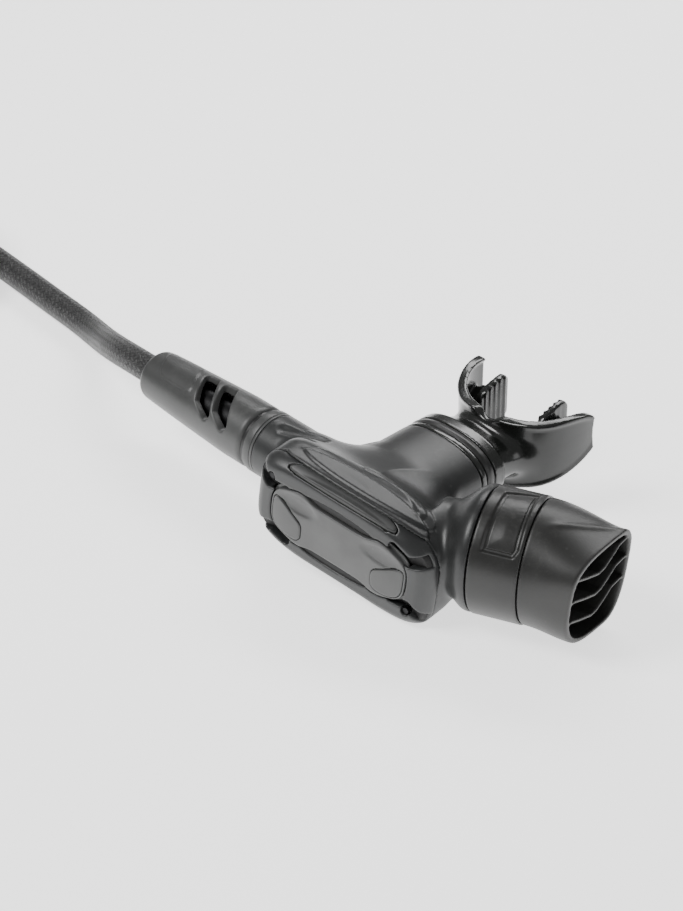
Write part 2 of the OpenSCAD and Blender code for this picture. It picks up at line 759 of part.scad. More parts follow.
body_shell();
front_cover();
cover_screws();
top_trim();
rear_web();
purge_button();
button_caps();
purge_spring();
diaphragm();
diaphragm_plate();
diaphragm_ring();
valve_barrel();
barrel_orings();
valve_seat();
poppet();
poppet_seal();
poppet_spring();
spring_stop();
demand_lever();
lever_pin();
bypass_tube();
neck_ring();
swivel_collar();
inlet_fitting();
swivel_nut();
swivel_balls();
swivel_washer();
hose_ferrule();
hose_end();
hose_protector();
exhaust_seat();
exhaust_flap();
exhaust_collar();
collar_badge();
exhaust_outlet();
mouthpiece();
mouthpiece_tie();
hose_run();
hose_coil();
hose_tail();
far_ferrule();
far_nut();
thread_fitting();
thread_oring();
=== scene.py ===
import math

import bmesh
import bpy
import numpy as np
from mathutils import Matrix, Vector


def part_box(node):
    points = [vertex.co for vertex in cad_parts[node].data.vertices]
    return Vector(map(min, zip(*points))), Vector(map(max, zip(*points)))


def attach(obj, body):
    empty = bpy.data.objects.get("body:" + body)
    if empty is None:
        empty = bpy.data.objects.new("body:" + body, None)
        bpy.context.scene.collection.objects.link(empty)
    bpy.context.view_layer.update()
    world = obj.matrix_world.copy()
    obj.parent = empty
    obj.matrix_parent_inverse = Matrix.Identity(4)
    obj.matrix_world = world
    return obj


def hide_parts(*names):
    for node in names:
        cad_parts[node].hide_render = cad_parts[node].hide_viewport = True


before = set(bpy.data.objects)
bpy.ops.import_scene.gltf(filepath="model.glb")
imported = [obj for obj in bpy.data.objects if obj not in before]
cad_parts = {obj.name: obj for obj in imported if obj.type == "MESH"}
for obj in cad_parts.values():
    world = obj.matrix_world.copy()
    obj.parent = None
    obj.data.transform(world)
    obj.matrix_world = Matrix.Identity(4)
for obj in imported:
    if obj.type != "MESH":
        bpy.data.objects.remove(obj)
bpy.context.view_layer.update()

import openvdb
from mathutils import Matrix, Vector

# ---------------------------------------------------------------------------
# Sizes, in millimetres, in the part's own frame: X along the hose, Y back to
# the mouth, Z up. Pieces are shaped in millimetres and turned into metres once.
# ---------------------------------------------------------------------------
MM = 0.001


def cad_box(node):
    """Lowest and highest corner of a CAD node, in millimetres."""
    low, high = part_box(node)
    return np.array(low) / MM, np.array(high) / MM


AXIS_H = sum(cad_box("swivel_collar")[i][2] for i in (0, 1)) / 2
NECK_R = (cad_box("swivel_collar")[1][2] - cad_box("swivel_collar")[0][2]) / 2
NECK_END = cad_box("body_shell")[0][0]
PROTECTOR = (cad_box("hose_protector")[0][0], cad_box("hose_protector")[1][0])
PROTECTOR_R = (cad_box("hose_protector")[1][2] - cad_box("hose_protector")[0][2]) / 2
HOSE_R = (cad_box("hose_end")[1][2] - cad_box("hose_end")[0][2]) / 2

POD_X, POD_Z, POD_FRONT, POD_D = 8.0, -2.0, 24.0, 40.0
POD_L, POD_H, POD_POWER = 41.0, 21.0, 3.6
FACE_TURN, FACE_ROLL = math.radians(7.5), math.radians(7.5)
COVER_D = 7.5
WALL = 2.2
BUTTON_L, BUTTON_H = 31.5, 10.2
BARREL_R = 7.0
DIAPHRAGM = (27.0, 15.0)

MOUTH_W, MOUTH_H, MOUTH_Y = 22.0, 12.8, 37.5
SPIGOT_W, SPIGOT_H, SPIGOT_Y = 19.6, 10.4, 46.5
TIE_Y, TIE_GROOVE = 42.5, 1.15
FLANGE_W, FLANGE_H, FLANGE_Y, FLANGE_D = 30.0, 14.8, 58.0, 27.0
FLANGE_SHIFT = 4.0

EXH_TURN = math.radians(24)
EXH_X, EXH_Y, EXH_R, COLLAR_L, OUTLET_L = 49.5, 11.8, 24.0, 19.4, 27.0
COLLAR_BORE = EXH_R - 2.6

# The hose's route, the same points as in the part's source, then its coil and tail
HOSE_ROUTE = [
    (-121, 0, 25), (-126, 0, 25), (-133, 0.5, 24.5), (-140, 1.6, 23.3),
    (-147, 3.4, 21.4), (-154, 6, 18.8), (-161, 9.2, 15.6), (-168, 12.6, 12.3), (-175, 15.8, 9.4),
    (-183, 18.7, 7.1), (-191, 20.6, 6), (-200, 21.7, 5.75), (-214, 22.7, 5.75), (-230, 24, 5.75),
    (-246, 25.2, 5.75), (-262, 26.3, 5.75), (-276, 27.2, 5.75), (-286, 27.8, 5.75),
    (-296, 28, 5.75)]
COIL_R = 61.0
COIL_X, COIL_Y = -296.0, 28.0 - COIL_R
COIL_TURN = 450
TAIL_R = COIL_R - 5
TAIL_Z = sum(cad_box("far_ferrule")[i][2] for i in (0, 1)) / 2
TAIL_L = 10.0


# ---------------------------------------------------------------------------
# Camera, stage and lights
# ---------------------------------------------------------------------------
def look(azimuth, elevation):
    """Right, up and back vectors of a level camera."""
    a, e = math.radians(azimuth), math.radians(elevation)
    back = Vector((math.sin(a) * math.cos(e), -math.cos(a) * math.cos(e), math.sin(e)))
    right = Vector((math.cos(a), math.sin(a), 0))
    return right, back.cross(right), back


def make_camera():
    """Level camera in front of the exhaust side, looking down on the object."""
    right, up, back = look(46.5, 35)
    centre = Vector((0, 0, AXIS_H)) - 10.2 * right + 17.8 * up
    distance = 1100
    data = bpy.data.cameras.new("camera")
    data.lens = 117.4
    data.sensor_width = 36
    data.clip_start, data.clip_end = 0.01, 20
    camera = bpy.data.objects.new("camera", data)
    bpy.context.collection.objects.link(camera)
    axes = Matrix((right, up, back)).transposed().to_4x4()
    camera.matrix_world = Matrix.Translation((centre + distance * back) * MM) @ axes
    bpy.context.scene.camera = camera
    return right, back


def area_light(name, spot, aim, size, power):
    data = bpy.data.lights.new(name, "AREA")
    data.shape = "RECTANGLE"
    data.size, data.size_y = size
    data.energy = power
    light = bpy.data.objects.new(name, data)
    bpy.context.collection.objects.link(light)
    light.location = spot
    light.rotation_mode = "QUATERNION"
    light.rotation_quaternion = (Vector(spot) - Vector(aim)).to_track_quat("Z", "Y")


def make_stage(right, back):
    """White paper floor that glows a little, an even sky, and three soft lights round the view."""
    world = bpy.data.worlds.new("studio")
    world.use_nodes = True
    world.node_tree.nodes["Background"].inputs["Color"].default_value = (0.93, 0.935, 0.94, 1)
    world.node_tree.nodes["Background"].inputs["Strength"].default_value = 0.28
    bpy.context.scene.world = world
    bpy.ops.mesh.primitive_plane_add(size=12, location=(0, 0, -0.0005))
    floor = bpy.context.object
    floor.name = "studio_floor"
    paper = plain("floor_paper", (0.9, 0.9, 0.9), 0.9)
    shader = paper.node_tree.nodes["Principled BSDF"]
    shader.inputs["Emission Color"].default_value = (1, 1, 1, 1)
    shader.inputs["Emission Strength"].default_value = 1.5
    floor.data.materials.append(paper)
    flat = Vector((back.x, back.y, 0)).normalized()
    aim = Vector((0.02, 0, 0.02))
    area_light("key", aim - 0.75 * right + 0.1 * flat + Vector((0, 0, 0.9)), aim, (0.45, 0.45), 9)
    area_light("fill", aim + 0.9 * right + 0.8 * flat + Vector((0, 0, 0.5)), aim, (0.6, 0.6), 2)
    area_light("rim", aim - 0.7 * flat + 0.25 * right + Vector((0, 0, 0.7)), aim, (0.9, 0.25), 6)


# ---------------------------------------------------------------------------
# Shader groups and materials
# ---------------------------------------------------------------------------
def plain(name, colour, roughness):
    material = bpy.data.materials.new(name)
    material.use_nodes = True
    shader = material.node_tree.nodes["Principled BSDF"]
    shader.inputs["Base Color"].default_value = (*colour, 1)
    shader.inputs["Roughness"].default_value = roughness
    return material


class Nodes:
    """A short way to add linked nodes to a tree."""

    def __init__(self, tree):
        self.tree = tree

    def add(self, kind, inputs=None, **settings):
        node = self.tree.nodes.new(kind)
        for key, value in settings.items():
            setattr(node, key, value)
        for key, value in (inputs or {}).items():
            if isinstance(value, bpy.types.NodeSocket):
                self.tree.links.new(value, node.inputs[key])
            else:
                node.inputs[key].default_value = value
        return node

    def math(self, operation, a, b=0.0, clamp=False):
        return self.add("ShaderNodeMath", {0: a, 1: b}, operation=operation, use_clamp=clamp).outputs[0]

    def ramp(self, value, low, high):
        """Value from low to high becomes 0 to 1, clamped and eased."""
        return self.add("ShaderNodeMapRange", {"Value": value, "From Min": low, "From Max": high},
                        interpolation_type="SMOOTHSTEP").outputs["Result"]

    def mix(self, factor, a, b):
        node = self.add("ShaderNodeMix", data_type="RGBA")
        for socket, value in ((0, factor), (6, a), (7, b)):
            if isinstance(value, bpy.types.NodeSocket):
                self.tree.links.new(value, node.inputs[socket])
            else:
                node.inputs[socket].default_value = value
        return node.outputs[2]


def group(name, inputs, outputs):
    """An empty shader group with named float inputs and outputs."""
    tree = bpy.data.node_groups.new(name, "ShaderNodeTree")
    for title, value in inputs.items():
        socket = tree.interface.new_socket(title, in_out="INPUT", socket_type="NodeSocketFloat")
        socket.default_value = value
    for title, kind in outputs.items():
        tree.interface.new_socket(title, in_out="OUTPUT", socket_type=kind)
    into = tree.nodes.new("NodeGroupInput")
    out = tree.nodes.new("NodeGroupOutput")
    return tree, Nodes(tree), into, out


def make_mould_grain():
    """Fine spark-eroded grain of a moulded surface, with broad colour drift."""
    tree, n, into, out = group("mould_grain", {"Grain Scale": 1800, "Drift Scale": 35},
                               {"Height": "NodeSocketFloat", "Drift": "NodeSocketFloat"})
    place = n.add("ShaderNodeTexCoord").outputs["Object"]
    grain = n.add("ShaderNodeTexNoise", {"Vector": place, "Scale": into.outputs["Grain Scale"],
                                         "Detail": 3.0})
    drift = n.add("ShaderNodeTexNoise", {"Vector": place, "Scale": into.outputs["Drift Scale"], "Detail": 4.0,
                                         "Roughness": 0.6})
    tree.links.new(grain.outputs["Fac"], out.inputs["Height"])
    tree.links.new(drift.outputs["Fac"], out.inputs["Drift"])
    return tree


def make_edge_wear_and_highlight():
    """Mask that is 1 on handled edges and 0 on flats, broken up by noise; it lightens edges both as wear and
    as painted highlight on bevels.
    """
    tree, n, into, out = group("edge_wear_and_highlight", {"Start": 0.52, "End": 0.62}, {"Mask": "NodeSocketFloat"})
    point = n.add("ShaderNodeNewGeometry").outputs["Pointiness"]
    place = n.add("ShaderNodeTexCoord").outputs["Object"]
    broken = n.add("ShaderNodeTexNoise", {"Vector": place, "Scale": 160.0, "Detail": 5.0}).outputs["Fac"]
    edge = n.add("ShaderNodeMapRange", {"Value": point, "From Min": into.outputs["Start"],
                                        "From Max": into.outputs["End"]}).outputs["Result"]
    mask = n.math("MULTIPLY", edge, n.ramp(broken, 0.3, 0.65), clamp=True)
    tree.links.new(mask, out.inputs["Mask"])
    return tree


def make_settled_dust():
    """Thin dust that settles on upward faces."""
    tree, n, into, out = group("settled_dust", {"Amount": 0.3}, {"Mask": "NodeSocketFloat"})
    normal = n.add("ShaderNodeNewGeometry").outputs["Normal"]
    up = n.add("ShaderNodeSeparateXYZ", {0: normal}).outputs["Z"]
    place = n.add("ShaderNodeTexCoord").outputs["Object"]
    speck = n.add("ShaderNodeTexNoise", {"Vector": place, "Scale": 420.0, "Detail": 6.0}).outputs["Fac"]
    cloud = n.add("ShaderNodeTexNoise", {"Vector": place, "Scale": 60.0, "Detail": 3.0}).outputs["Fac"]
    mask = n.math("MULTIPLY", n.ramp(up, 0.1, 1.0), n.ramp(speck, 0.45, 0.75))
    mask = n.math("MULTIPLY", mask, n.ramp(cloud, 0.35, 0.7))
    mask = n.math("MULTIPLY", mask, into.outputs["Amount"], clamp=True)
    tree.links.new(mask, out.inputs["Mask"])
    return tree


def make_braid():
    """Over and under weave of two helical yarn families, from a tube's UVs in turns and pitches."""
    tree, n, into, out = group("hose_braid", {"Carriers": 16}, {"Height": "NodeSocketFloat",
                                                              "Fleck": "NodeSocketFloat"})
    uv = n.add("ShaderNodeSeparateXYZ", {0: n.add("ShaderNodeTexCoord").outputs["UV"]})
    around = n.math("MULTIPLY", uv.outputs["X"], into.outputs["Carriers"])
    left = n.math("ADD", around, uv.outputs["Y"])
    right = n.math("SUBTRACT", around, uv.outputs["Y"])
    parity = n.math("PINGPONG", n.math("ADD", n.math("FLOOR", left), n.math("FLOOR", right)), 1.0)
    across_left = n.math("ABSOLUTE", n.math("SUBTRACT", n.math("FRACT", left), 0.5))
    across_right = n.math("ABSOLUTE", n.math("SUBTRACT", n.math("FRACT", right), 0.5))
    ply_left = n.math("SINE", n.math("MULTIPLY", left, 31.4))
    ply_right = n.math("SINE", n.math("MULTIPLY", right, 31.4))
    over = n.math("SUBTRACT", 1.0, n.math("MULTIPLY", across_left, 2.0))
    under = n.math("SUBTRACT", 1.0, n.math("MULTIPLY", across_right, 2.0))
    pick = n.add("ShaderNodeMix", {0: parity, 2: over, 3: under}, data_type="FLOAT").outputs[0]
    ply = n.add("ShaderNodeMix", {0: parity, 2: ply_left, 3: ply_right}, data_type="FLOAT").outputs[0]
    tree.links.new(n.math("ADD", pick, n.math("MULTIPLY", ply, 0.15)), out.inputs["Height"])
    place = n.add("ShaderNodeTexCoord").outputs["Object"]
    stray = n.add("ShaderNodeTexNoise", {"Vector": place, "Scale": 500.0, "Detail": 2.0}).outputs["Fac"]
    fleck = n.math("MULTIPLY", n.ramp(pick, 0.55, 0.95), n.ramp(stray, 0.42, 0.62))
    tree.links.new(fleck, out.inputs["Fleck"])
    return tree


GROUPS = {}


def placed(n, name, **inputs):
    node = n.add("ShaderNodeGroup", node_tree=GROUPS[name])
    for key, value in inputs.items():
        node.inputs[key.replace("_", " ")].default_value = value
    return node


def moulded(name, colour, roughness, grain=0.12, grain_scale=1800, rub=0.35, dust=0.05, coat=0.0,
            drift=0.18, sheen=0.0):
    """Moulded plastic, rubber or silicone: drifted colour, edges lightened as wear and as painted highlight,
    grain and a little dust.
    """
    material = bpy.data.materials.new(name)
    material.use_nodes = True
    n = Nodes(material.node_tree)
    shader = material.node_tree.nodes["Principled BSDF"]
    base = placed(n, "mould_grain", Grain_Scale=grain_scale)
    edge = placed(n, "edge_wear_and_highlight")
    settled = placed(n, "settled_dust", Amount=dust)
    dark = (*[c * (1 - drift) for c in colour], 1)
    light = (*[min(1, c * (1 + drift)) for c in colour], 1)
    # Lighter edge colour: wear, and painted highlight on bevels.
    wear_and_highlight_tone = (*[min(1, c * 1.9 + 0.03) for c in colour], 1)
    tone = n.mix(n.ramp(base.outputs["Drift"], 0.35, 0.65), dark, light)
    tone = n.mix(n.math("MULTIPLY", edge.outputs["Mask"], rub), tone, wear_and_highlight_tone)
    tone = n.mix(settled.outputs["Mask"], tone, (0.4, 0.4, 0.38, 1))
    rough = n.math("MULTIPLY_ADD", base.outputs["Drift"], 0.16)
    rough.node.inputs[2].default_value = roughness - 0.08
    material.node_tree.links.new(tone, shader.inputs["Base Color"])
    material.node_tree.links.new(rough, shader.inputs["Roughness"])
    bump = n.add("ShaderNodeBump", {"Height": base.outputs["Height"], "Strength": grain, "Distance": 0.0001})
    material.node_tree.links.new(bump.outputs[0], shader.inputs["Normal"])
    shader.inputs["Coat Weight"].default_value = coat
    shader.inputs["Coat Roughness"].default_value = 0.12
    shader.inputs["Sheen Weight"].default_value = sheen
    return material


def metal(name, colour, roughness, brushed=0.0):
    """Machined metal with turning marks and a faint tarnish."""
    material = bpy.data.materials.new(name)
    material.use_nodes = True
    n = Nodes(material.node_tree)
    shader = material.node_tree.nodes["Principled BSDF"]
    base = placed(n, "mould_grain", Grain_Scale=900, Drift_Scale=90)
    dull = (*[c * 0.72 for c in colour], 1)
    tone = n.mix(n.ramp(base.outputs["Drift"], 0.4, 0.7), (*colour, 1), dull)
    rough = n.math("MULTIPLY_ADD", base.outputs["Drift"], 0.2)
    rough.node.inputs[2].default_value = roughness - 0.06
    material.node_tree.links.new(tone, shader.inputs["Base Color"])
    material.node_tree.links.new(rough, shader.inputs["Roughness"])
    bump = n.add("ShaderNodeBump", {"Height": base.outputs["Height"], "Strength": brushed,
                                    "Distance": 0.0001})
    material.node_tree.links.new(bump.outputs[0], shader.inputs["Normal"])
    shader.inputs["Metallic"].default_value = 1.0
    return material


def braided(name):
    """Black nylon braid with grey flecks where the yarn catches the light."""
    material = bpy.data.materials.new(name)
    material.use_nodes = True
    n = Nodes(material.node_tree)
    shader = material.node_tree.nodes["Principled BSDF"]
    weave = placed(n, "hose_braid")
    tone = n.mix(weave.outputs["Fleck"], (0.006, 0.006, 0.006, 1), (0.075, 0.075, 0.073, 1))
    material.node_tree.links.new(tone, shader.inputs["Base Color"])
    bump = n.add("ShaderNodeBump", {"Height": weave.outputs["Height"], "Strength": 0.9, "Distance": 0.0003})
    material.node_tree.links.new(bump.outputs[0], shader.inputs["Normal"])
    shader.inputs["Roughness"].default_value = 0.5
    shader.inputs["Sheen Weight"].default_value = 0.25
    shader.inputs["Sheen Roughness"].default_value = 0.4
    return material


for _name, _make in (("mould_grain", make_mould_grain), ("edge_wear_and_highlight", make_edge_wear_and_highlight),
                     ("settled_dust", make_settled_dust), ("hose_braid", make_braid)):
    GROUPS[_name] = _make()

HOUSING = moulded("housing_satin_graphite", (0.02, 0.021, 0.021), 0.38)
COVER = moulded("cover_satin_grey", (0.025, 0.026, 0.026), 0.36)
# The rub values lighten edges; on the button, its lobes and the trim (rub 0.5 to 0.8) this is painted
# highlight on the bevels as well as wear.
BUTTON = moulded("button_metallic_grey", (0.075, 0.076, 0.075), 0.36, grain=0.06, rub=0.5)
BUTTON_WING = moulded("wing_grey", (0.055, 0.056, 0.055), 0.34, grain=0.06, rub=0.6)
TRIM = moulded("trim_soft_rubber", (0.032, 0.033, 0.032), 0.42, rub=0.8)
SLEEVE = moulded("sleeve_grey_rubber", (0.05, 0.051, 0.05), 0.4, grain=0.15, sheen=0.05)
COLLAR = moulded("collar_charcoal", (0.017, 0.017, 0.016), 0.38)
EXHAUST = moulded("exhaust_charcoal_rubber", (0.015, 0.015, 0.014), 0.42, grain=0.2, grain_scale=1300,
                  sheen=0.05)
INNER_PANEL = moulded("badge_dark_rubber", (0.018, 0.018, 0.017), 0.38)
# Near-black; on the recess sheet it is painted shade, and it also colours the diaphragm ring and exhaust seat
# inside.
INNER = moulded("shadowed_black", (0.004, 0.004, 0.004), 0.6, rub=0.0, dust=0.0)
SILICONE = moulded("mouthpiece_gloss_silicone", (0.008, 0.009, 0.008), 0.22, grain=0.02, rub=0.02, coat=0.35)
BLACK = moulded("black_satin_rubber", (0.01, 0.01, 0.01), 0.34, rub=0.1)
WHITE = moulded("natural_acetal", (0.75, 0.74, 0.7), 0.4)
BRASS = metal("turned_brass", (0.75, 0.58, 0.28), 0.25, 0.1)
CHROME = metal("chromed_brass", (0.75, 0.76, 0.78), 0.12, 0.02)
STEEL = metal("stainless", (0.55, 0.55, 0.54), 0.3, 0.1)
# Near-black steel: the parts' own dark finish, and on the swivel nut and hose ferrule inside the protector it
# is also painted shade.
DARK_STEEL = metal("blackened_steel_and_painted_shade", (0.03, 0.03, 0.031), 0.35, 0.1)
BRAID = braided("braided_nylon")


# ---------------------------------------------------------------------------
# Shaping tools. A form is a function of x, y and z in millimetres that is
# negative inside; the surface where it is zero becomes a mesh.
# ---------------------------------------------------------------------------
def length(*parts):
    total = 0
    for p in parts:
        total = total + p * p
    return np.sqrt(total)


def ease(low, high, value):
    t = np.clip((value - low) / (high - low), 0, 1)
    return t * t * (3 - 2 * t)


def join(a, b, blend):
    """Union with a fillet of the given size."""
    h = np.clip(0.5 + 0.5 * (b - a) / blend, 0, 1)
    return b + (a - b) * h - blend * h * (1 - h)


def cut(a, b, blend=0.0):
    """Form a without form b, with a rounded edge of the given size."""
    return keep(a, -b, blend)


def keep(a, b, blend=0.0):
    """Common part of two forms, with a rounded edge of the given size."""
    return -join(-a, -b, blend) if blend else np.maximum(a, b)


def slab(value, low, high):
    return np.maximum(low - value, value - high)


def oval(u, v, half_u, half_v, power=2.0):
    """Distance to a superellipse, good near its edge."""
    au, av = np.abs(u) / half_u + 1e-6, np.abs(v) / half_v + 1e-6
    g = (au ** power + av ** power) ** (1 / power)
    slope = length(au ** (power - 1) / half_u, av ** (power - 1) / half_v) * g ** (1 - power)
    return (g - 1) / slope


def stadium(u, v, half_u, half_v):
    return length(np.maximum(np.abs(u) - (half_u - half_v), 0), v) - half_v


def rounded_box(u, v, half_u, half_v, corner):
    du, dv = np.abs(u) - half_u + corner, np.abs(v) - half_v + corner
    return length(np.maximum(du, 0), np.maximum(dv, 0)) + np.minimum(np.maximum(du, dv), 0) - corner


def capsule(x, y, z, start, end, radius):
    sx, sy, sz = start
    dx, dy, dz = end[0] - sx, end[1] - sy, end[2] - sz
    t = np.clip(((x - sx) * dx + (y - sy) * dy + (z - sz) * dz) / (dx * dx + dy * dy + dz * dz), 0, 1)
    return length(x - sx - t * dx, y - sy - t * dy, z - sz - t * dz) - radius


def polygon_2d(u, v, points):
    """Exact signed distance to a closed outline."""
    best = None
    sign = 1.0
    for (ax, ay), (bx, by) in zip(points, points[1:] + points[:1]):
        ex, ey = bx - ax, by - ay
        wx, wy = u - ax, v - ay
        t = np.clip((wx * ex + wy * ey) / (ex * ex + ey * ey), 0, 1)
        d = (wx - t * ex) ** 2 + (wy - t * ey) ** 2
        best = d if best is None else np.minimum(best, d)
        above, below, side = v >= ay, v < by, ex * wy > ey * wx
        flip = (above & below & side) | (~above & ~below & ~side)
        sign = sign * np.where(flip, -1.0, 1.0)
    return sign * np.sqrt(best)


def to_face(x, y, z):
    """Along the button, depth behind the front face, and height, in the front pod's own frame."""
    dx, dy, dz = x - POD_X, y + POD_FRONT, z - POD_Z
    s = dx * math.cos(FACE_TURN) + dy * math.sin(FACE_TURN)
    d = -dx * math.sin(FACE_TURN) + dy * math.cos(FACE_TURN)
    along = s * math.cos(FACE_ROLL) - dz * math.sin(FACE_ROLL)
    return along, d, s * math.sin(FACE_ROLL) + dz * math.cos(FACE_ROLL)


def from_face(p):
    s = p[:, 0] * math.cos(FACE_ROLL) + p[:, 2] * math.sin(FACE_ROLL)
    dz = -p[:, 0] * math.sin(FACE_ROLL) + p[:, 2] * math.cos(FACE_ROLL)
    dx = s * math.cos(FACE_TURN) - p[:, 1] * math.sin(FACE_TURN)
    dy = s * math.sin(FACE_TURN) + p[:, 1] * math.cos(FACE_TURN)
    return np.stack([dx + POD_X, dy - POD_FRONT, dz + POD_Z], axis=1)


def to_exhaust(x, y, z):
    dx, dy = x - EXH_X, y - EXH_Y
    q = dx * math.cos(EXH_TURN) + dy * math.sin(EXH_TURN)
    return q, -dx * math.sin(EXH_TURN) + dy * math.cos(EXH_TURN), z


def from_exhaust(p):
    x = EXH_X + p[:, 0] * math.cos(EXH_TURN) - p[:, 1] * math.sin(EXH_TURN)
    y = EXH_Y + p[:, 0] * math.sin(EXH_TURN) + p[:, 1] * math.cos(EXH_TURN)
    return np.stack([x, y, p[:, 2]], axis=1)


def as_is(p):
    return p


def add_mesh(name, points, faces, material, body, replaces=(), sharp=None):
    """Smooth object from points in millimetres about the hose axis, riding on a CAD body."""
    mesh = bpy.data.meshes.new(name)
    world = (np.asarray(points) + (0, 0, AXIS_H)) * MM
    mesh.from_pydata(world.tolist(), [], [list(f) for f in faces])
    mesh.validate()
    piece = bpy.data.objects.new(name, mesh)
    bpy.context.collection.objects.link(piece)
    mesh.materials.append(material)
    tool = bmesh.new()
    tool.from_mesh(mesh)
    bmesh.ops.recalc_face_normals(tool, faces=tool.faces)
    tool.to_mesh(mesh)
    tool.free()
    mesh.shade_smooth()
    if sharp:
        mesh.set_sharp_from_angle(angle=math.radians(sharp))
    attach(piece, body)
    for node in replaces:
        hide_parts(node)
    return piece


def skin(name, form, low, high, cell, material, body, replaces=(), place=as_is, relax=2):
    """Mesh of a form sampled on a grid, then relaxed a little to take out the grid's steps."""
    axes = [np.arange(low[i], high[i] + cell, cell, dtype=np.float32) for i in range(3)]
    x, y, z = np.meshgrid(*axes, indexing="ij", sparse=True)
    values = np.broadcast_to(form(x, y, z), [len(a) for a in axes]).astype(np.float32)
    values = np.clip(values, -3 * cell, 3 * cell)
    grid = openvdb.FloatGrid(background=3 * cell)
    grid.copyFromArray(np.ascontiguousarray(values))
    points, quads = grid.convertToQuads(isovalue=0.0)
    points = relaxed(np.asarray(points, dtype=np.float64), quads, relax)
    points = points * cell + np.array(low)
    return add_mesh(name, place(points), quads, material, body, replaces)


def relaxed(points, quads, rounds):
    """Moves each point to the mean of its neighbours and back, so that volume holds."""
    quads = np.asarray(quads)
    a = quads.ravel()
    b = np.roll(quads, -1, axis=1).ravel()
    count = np.bincount(np.concatenate([a, b]), minlength=len(points))[:, None]
    for step in range(2 * rounds):
        total = np.zeros_like(points)
        np.add.at(total, a, points[b])
        np.add.at(total, b, points[a])
        points = points + (0.5 if step % 2 == 0 else -0.52) * (total / np.maximum(count, 1) - points)
    return points


def lathe(name, profile, material, body, replaces=(), sides=96):
    """Ring turned round the hose axis from a closed outline of (x, radius)."""
    count = len(profile)
    points, faces = [], []
    for i in range(sides):
        a = 2 * math.pi * i / sides
        points += [(x, r * math.cos(a), r * math.sin(a)) for x, r in profile]
        for j in range(count):
            k, n = (j + 1) % count, (i + 1) % sides
            faces.append((i * count + j, i * count + k, n * count + k, n * count + j))
    return add_mesh(name, points, faces, material, body, replaces, sharp=40)


def ring_outline(x0, x1, outer, bore, round_x0=0.3, round_x1=0.3):
    """Outline of a ring with rounded outer corners."""
    arc = [math.radians(a) for a in (0, 30, 60, 90)]
    left = [(x0 + round_x0 * (1 - math.cos(a)), outer - round_x0 * (1 - math.sin(a))) for a in arc]
    right = [(x1 - round_x1 * (1 - math.cos(a)), outer - round_x1 * (1 - math.sin(a))) for a in reversed(arc)]
    return [(x0, bore)] + left + right + [(x1, bore)]


def superellipse_pod(along, d, h, inset=0.0):
    """The front pod: a rounded outline that swells from the front face and draws in to the back."""
    front = np.clip(1 - d / 7.0, 0, 1) ** 2
    back = np.clip((d - POD_D / 2) / (POD_D / 2), 0, 1.2) ** 2
    half_l = POD_L - 4 * front - POD_L * 0.28 * back
    half_h = POD_H - 3.5 * front - POD_H * 0.32 * back - 9.5 * ease(15, 34, d)
    corner = POD_POWER + 2.4 * ease(0, 20, along) * ease(0, 10, -h)
    corner = corner + 2.0 * ease(0, 20, -along) * ease(0, 10, h)
    return oval(along, h, half_l - inset, np.maximum(half_h - inset, 3), corner)


# ---------------------------------------------------------------------------
# The free hose: its run, its single coil and its tail, as one curve
# ---------------------------------------------------------------------------
def coil_point(turn):
    """Point of the hose after it has turned this many degrees round the coil."""
    a = math.radians(90 + turn)
    r = COIL_R + (TAIL_R - COIL_R) * ease(360, 450, turn)
    lap = 2 * HOSE_R + 0.1
    z = HOSE_R + lap * ease(250, 345, turn) + (TAIL_Z - HOSE_R - lap) * ease(360, 450, turn)
    return COIL_X + r * math.cos(a), COIL_Y + r * math.sin(a), z


def hose_path():
    coil = [coil_point(15 * i) for i in range(1, COIL_TURN // 15 + 1)]
    x, y, z = coil[-1]
    tail = [(x, y - TAIL_L * k / 2, z) for k in (1, 2)]
    return HOSE_ROUTE + coil + tail


def tube(name, path, radius, material, body, replaces=(), sides=48, pitch=2.6):
    """Round tube swept along a smooth path, with UVs in turns round it and pitches along it."""
    knots = np.array(path, dtype=float)
    points = smoothed(knots, 1.2)
    step = np.gradient(points, axis=0)
    step /= np.linalg.norm(step, axis=1)[:, None]
    across = np.cross(np.tile([0.0, 0.0, 1.0], (len(points), 1)), step)
    across /= np.linalg.norm(across, axis=1)[:, None]
    upward = np.cross(step, across)
    run = np.concatenate([[0], np.cumsum(np.linalg.norm(np.diff(points, axis=0), axis=1))])
    a = np.linspace(0, 2 * math.pi, sides, endpoint=False)
    rings = (points[:, None, :] + radius * np.cos(a)[None, :, None] * across[:, None, :]
             + radius * np.sin(a)[None, :, None] * upward[:, None, :])
    count = len(points)
    faces = [(i * sides + j, i * sides + (j + 1) % sides,
              (i + 1) * sides + (j + 1) % sides, (i + 1) * sides + j)
             for i in range(count - 1) for j in range(sides)]
    faces += [tuple(range(sides)), tuple((count - 1) * sides + j for j in range(sides))]
    vertices = rings.reshape(-1, 3) - (0, 0, AXIS_H)
    piece = add_mesh(name, vertices, faces, material, body, replaces)
    layer = piece.data.uv_layers.new(name="weave")
    for face in piece.data.polygons:
        ring_columns = [piece.data.loops[k].vertex_index % sides for k in face.loop_indices]
        wraps = max(ring_columns) - min(ring_columns) > sides / 2
        for k, column in zip(face.loop_indices, ring_columns):
            row = piece.data.loops[k].vertex_index // sides
            turn = 1.0 if wraps and column == 0 else column / sides
            layer.data[k].uv = (turn, run[row] / pitch)
    return piece, points


